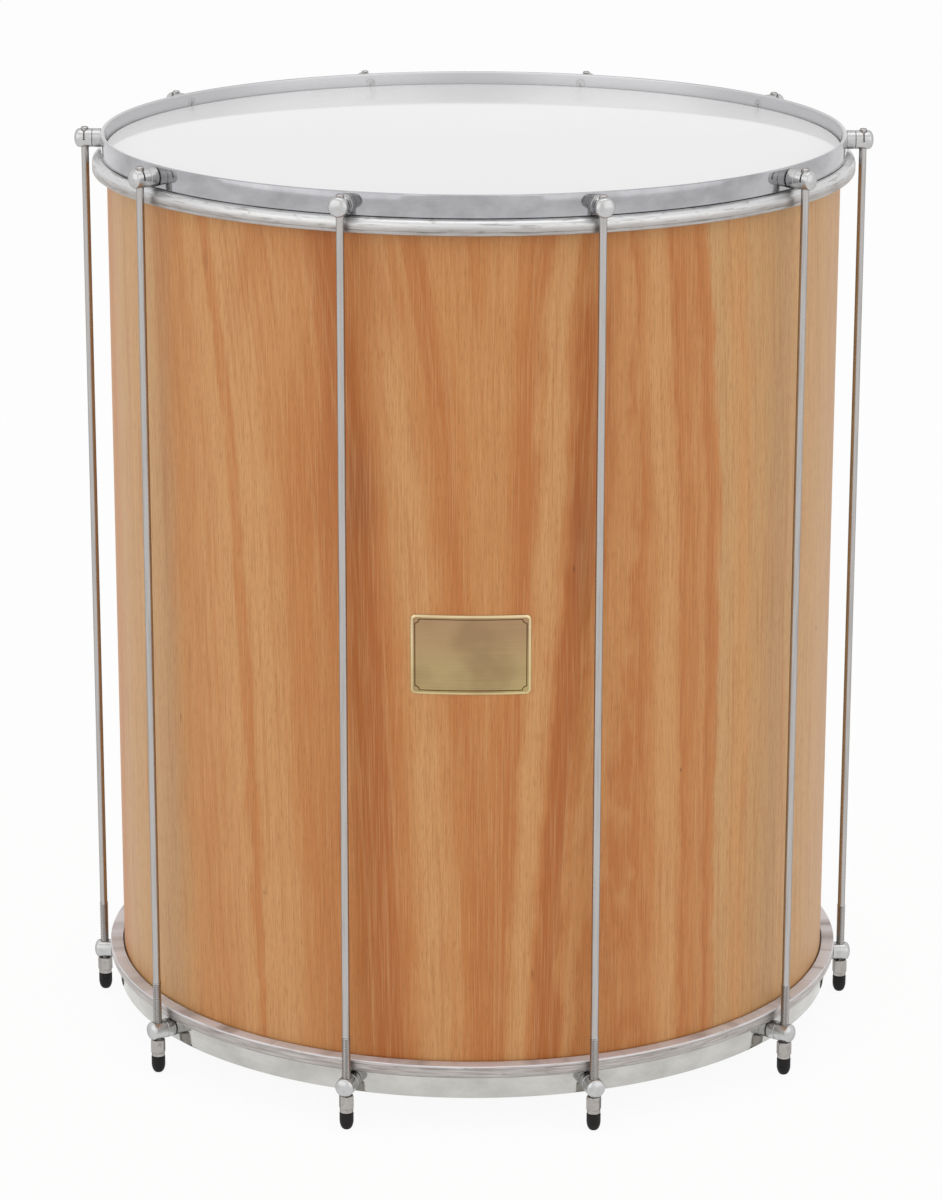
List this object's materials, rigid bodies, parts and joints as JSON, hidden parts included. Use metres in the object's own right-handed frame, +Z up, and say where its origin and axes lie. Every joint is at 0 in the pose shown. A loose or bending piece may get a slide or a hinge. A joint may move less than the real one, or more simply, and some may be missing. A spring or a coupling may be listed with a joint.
{
  "type": "surdo drum",
  "caption": "Large cylindrical bass drum with two tensioned heads, steel counterhoops and long tension rods whose nuts end in rubber feet.",
  "frame": {"origin": "on the floor under the drum's centre, level with the tips of the rubber feet", "axes": "+Z up along the drum's axis, -Y towards the badge and the viewer, +X to the viewer's right"},
  "size_m": [0.5544, 0.5282, 0.6387],
  "materials": {
    "veneer": "satin lacquer over vertical-grain veneer",
    "polished_steel": "polished, slightly cloudy",
    "lug_steel": "turned and polished",
    "nut_steel": "plated, worn",
    "rod_steel": "drawn, satin",
    "aluminium": "extruded, tarnished",
    "film": "glossy white",
    "rubber": "matt black",
    "brass": "brushed"
  },
  "bodies": {
    "drum": {"shell": "veneer", "badge": "brass", "top_head": "film", "bottom_head": "film", "top_flesh_hoop": "aluminium", "bottom_flesh_hoop": "aluminium", "top_counterhoop": "polished_steel", "bottom_counterhoop": "polished_steel", "top_lug_01": "lug_steel", "top_lug_02": "lug_steel", "top_lug_03": "lug_steel", "top_lug_04": "lug_steel", "top_lug_05": "lug_steel", "top_lug_06": "lug_steel", "top_lug_07": "lug_steel", "top_lug_08": "lug_steel", "top_lug_09": "lug_steel", "top_lug_10": "lug_steel", "bottom_lug_01": "lug_steel", "bottom_lug_02": "lug_steel", "bottom_lug_03": "lug_steel", "bottom_lug_04": "lug_steel", "bottom_lug_05": "lug_steel", "bottom_lug_06": "lug_steel", "bottom_lug_07": "lug_steel", "bottom_lug_08": "lug_steel", "bottom_lug_09": "lug_steel", "bottom_lug_10": "lug_steel", "tension_rod_01": "rod_steel", "tension_rod_02": "rod_steel", "tension_rod_03": "rod_steel", "tension_rod_04": "rod_steel", "tension_rod_05": "rod_steel", "tension_rod_06": "rod_steel", "tension_rod_07": "rod_steel", "tension_rod_08": "rod_steel", "tension_rod_09": "rod_steel", "tension_rod_10": "rod_steel"},
    "foot_01": {"rubber_foot_01": "rubber"},
    "foot_02": {"rubber_foot_02": "rubber"},
    "foot_03": {"rubber_foot_03": "rubber"},
    "foot_04": {"rubber_foot_04": "rubber"},
    "foot_05": {"rubber_foot_05": "rubber"},
    "foot_06": {"rubber_foot_06": "rubber"},
    "foot_07": {"rubber_foot_07": "rubber"},
    "foot_08": {"rubber_foot_08": "rubber"},
    "foot_09": {"rubber_foot_09": "rubber"},
    "foot_10": {"rubber_foot_10": "rubber"},
    "nut_01": {"tension_nut_01": "nut_steel"},
    "nut_02": {"tension_nut_02": "nut_steel"},
    "nut_03": {"tension_nut_03": "nut_steel"},
    "nut_04": {"tension_nut_04": "nut_steel"},
    "nut_05": {"tension_nut_05": "nut_steel"},
    "nut_06": {"tension_nut_06": "nut_steel"},
    "nut_07": {"tension_nut_07": "nut_steel"},
    "nut_08": {"tension_nut_08": "nut_steel"},
    "nut_09": {"tension_nut_09": "nut_steel"},
    "nut_10": {"tension_nut_10": "nut_steel"}
  },
  "joints": [
    {"name": "nut_travel_01", "type": "slide", "parent": "drum", "child": "foot_01", "axis": [0, 0, 1], "range_m": [-0.00762, 0]},
    {"name": "nut_travel_02", "type": "slide", "parent": "drum", "child": "foot_02", "axis": [0, 0, 1], "range_m": [-0.00762, 0]},
    {"name": "nut_travel_03", "type": "slide", "parent": "drum", "child": "foot_03", "axis": [0, 0, 1], "range_m": [-0.00762, 0]},
    {"name": "nut_travel_04", "type": "slide", "parent": "drum", "child": "foot_04", "axis": [0, 0, 1], "range_m": [-0.00762, 0]},
    {"name": "nut_travel_05", "type": "slide", "parent": "drum", "child": "foot_05", "axis": [0, 0, 1], "range_m": [-0.00762, 0]},
    {"name": "nut_travel_06", "type": "slide", "parent": "drum", "child": "foot_06", "axis": [0, 0, 1], "range_m": [-0.00762, 0]},
    {"name": "nut_travel_07", "type": "slide", "parent": "drum", "child": "foot_07", "axis": [0, 0, 1], "range_m": [-0.00762, 0]},
    {"name": "nut_travel_08", "type": "slide", "parent": "drum", "child": "foot_08", "axis": [0, 0, 1], "range_m": [-0.00762, 0]},
    {"name": "nut_travel_09", "type": "slide", "parent": "drum", "child": "foot_09", "axis": [0, 0, 1], "range_m": [-0.00762, 0]},
    {"name": "nut_travel_10", "type": "slide", "parent": "drum", "child": "foot_10", "axis": [0, 0, 1], "range_m": [-0.00762, 0]},
    {"name": "nut_turn_01", "type": "hinge", "parent": "foot_01", "child": "nut_01", "pos_m": [0.08337, -0.2566, 0.0183], "axis": [0, 0, 1], "range_deg": [-2160, 0]},
    {"name": "nut_turn_02", "type": "hinge", "parent": "foot_02", "child": "nut_02", "pos_m": [0.21827, -0.15858, 0.0183], "axis": [0, 0, 1], "range_deg": [-2160, 0]},
    {"name": "nut_turn_03", "type": "hinge", "parent": "foot_03", "child": "nut_03", "pos_m": [0.2698, 0, 0.0183], "axis": [0, 0, 1], "range_deg": [-2160, 0]},
    {"name": "nut_turn_04", "type": "hinge", "parent": "foot_04", "child": "nut_04", "pos_m": [0.21827, 0.15858, 0.0183], "axis": [0, 0, 1], "range_deg": [-2160, 0]},
    {"name": "nut_turn_05", "type": "hinge", "parent": "foot_05", "child": "nut_05", "pos_m": [0.08337, 0.2566, 0.0183], "axis": [0, 0, 1], "range_deg": [-2160, 0]},
    {"name": "nut_turn_06", "type": "hinge", "parent": "foot_06", "child": "nut_06", "pos_m": [-0.08337, 0.2566, 0.0183], "axis": [0, 0, 1], "range_deg": [-2160, 0]},
    {"name": "nut_turn_07", "type": "hinge", "parent": "foot_07", "child": "nut_07", "pos_m": [-0.21827, 0.15858, 0.0183], "axis": [0, 0, 1], "range_deg": [-2160, 0]},
    {"name": "nut_turn_08", "type": "hinge", "parent": "foot_08", "child": "nut_08", "pos_m": [-0.2698, 0, 0.0183], "axis": [0, 0, 1], "range_deg": [-2160, 0]},
    {"name": "nut_turn_09", "type": "hinge", "parent": "foot_09", "child": "nut_09", "pos_m": [-0.21827, -0.15858, 0.0183], "axis": [0, 0, 1], "range_deg": [-2160, 0]},
    {"name": "nut_turn_10", "type": "hinge", "parent": "foot_10", "child": "nut_10", "pos_m": [-0.08337, -0.2566, 0.0183], "axis": [0, 0, 1], "range_deg": [-2160, 0]}
  ],
  "couplings": [
    {"joint": "nut_turn_01", "follows": "nut_travel_01", "rad_per_m": 4947.4},
    {"joint": "nut_turn_02", "follows": "nut_travel_02", "rad_per_m": 4947.4},
    {"joint": "nut_turn_03", "follows": "nut_travel_03", "rad_per_m": 4947.4},
    {"joint": "nut_turn_04", "follows": "nut_travel_04", "rad_per_m": 4947.4},
    {"joint": "nut_turn_05", "follows": "nut_travel_05", "rad_per_m": 4947.4},
    {"joint": "nut_turn_06", "follows": "nut_travel_06", "rad_per_m": 4947.4},
    {"joint": "nut_turn_07", "follows": "nut_travel_07", "rad_per_m": 4947.4},
    {"joint": "nut_turn_08", "follows": "nut_travel_08", "rad_per_m": 4947.4},
    {"joint": "nut_turn_09", "follows": "nut_travel_09", "rad_per_m": 4947.4},
    {"joint": "nut_turn_10", "follows": "nut_travel_10", "rad_per_m": 4947.4}
  ]
}
